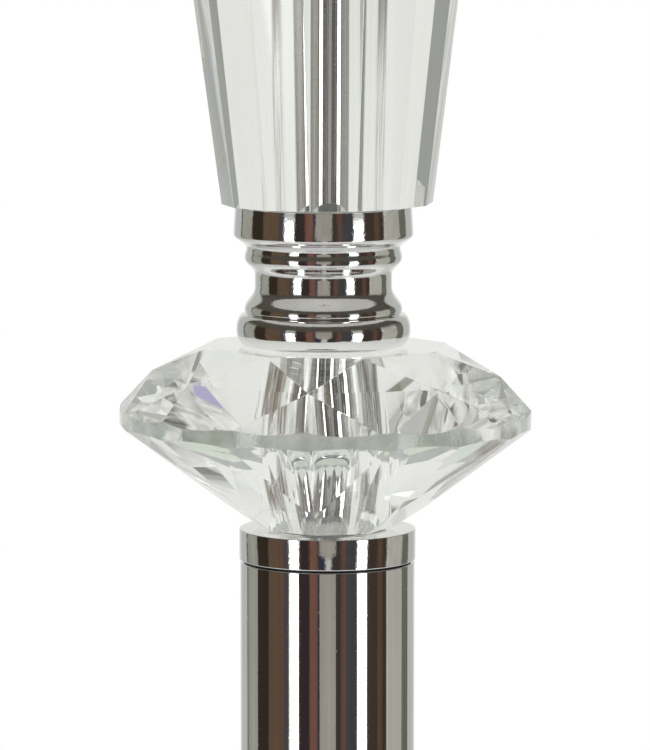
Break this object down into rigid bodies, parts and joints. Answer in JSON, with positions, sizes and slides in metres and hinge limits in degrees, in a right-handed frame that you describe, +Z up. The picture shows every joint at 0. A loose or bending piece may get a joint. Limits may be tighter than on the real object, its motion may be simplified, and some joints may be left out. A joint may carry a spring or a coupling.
{
  "type": "floor lamp",
  "caption": "Floor lamp with a round weighted base, a tube pole, a cut-glass disc and tapered cut-glass column on turned chrome rings, a turn switch and a tapered drum shade.",
  "frame": {"origin": "centre of the base on the floor", "axes": "+Z up along the pole, -Y to the front, the cord gland faces +Y"},
  "size_m": [0.4, 0.4, 1.5491],
  "materials": {
    "chrome": "polished",
    "steel": "zinc plated",
    "cast_iron": "as cast, painted",
    "brass": "stamped",
    "crystal": "cut and polished",
    "bulb_glass": "inside frosted",
    "black_plastic": "moulded",
    "holder_plastic": "moulded",
    "clear_plastic": "punched sheet",
    "felt": "pressed felt",
    "shade_fabric": "plain linen weave on a stiff lining"
  },
  "bodies": {
    "lamp": {"base_pad": "felt", "base_weight": "cast_iron", "base_cover": "chrome", "base_washer": "steel", "base_nut": "steel", "base_stud": "steel", "cord_gland": "black_plastic", "pole_foot": "chrome", "foot_insert": "steel", "lower_tube": "chrome", "lower_tube_insert": "steel", "joint_stud": "steel", "joint_ring": "chrome", "upper_tube_insert": "steel", "upper_tube": "chrome", "top_insert": "steel", "rod_nut": "steel", "cap_ring": "chrome", "centre_rod": "steel", "disc_foot_washer": "clear_plastic", "crystal_disc": "crystal", "disc_top_washer": "clear_plastic", "disc_sleeve": "chrome", "stem_collar": "chrome", "column_foot_washer": "clear_plastic", "crystal_column": "crystal", "column_top_washer": "clear_plastic", "column_sleeve": "chrome", "column_cap": "chrome", "holder_nut": "steel", "holder_cup": "chrome", "switch_block": "black_plastic", "holder_body": "holder_plastic", "screw_shell": "brass", "centre_contact": "brass", "shade_nut": "holder_plastic", "shade_foot_frame": "steel", "shade_top_wire": "steel", "shade_cloth": "shade_fabric", "bulb_screw": "steel", "bulb_glass": "bulb_glass"},
    "switch": {"switch_shaft": "brass", "switch_knob": "black_plastic"}
  },
  "joints": [
    {"name": "switch_turn", "type": "hinge", "parent": "lamp", "child": "switch", "pos_m": [0.0303, 0, 1.29855], "axis": [1, 0, 0], "continuous": true}
  ]
}
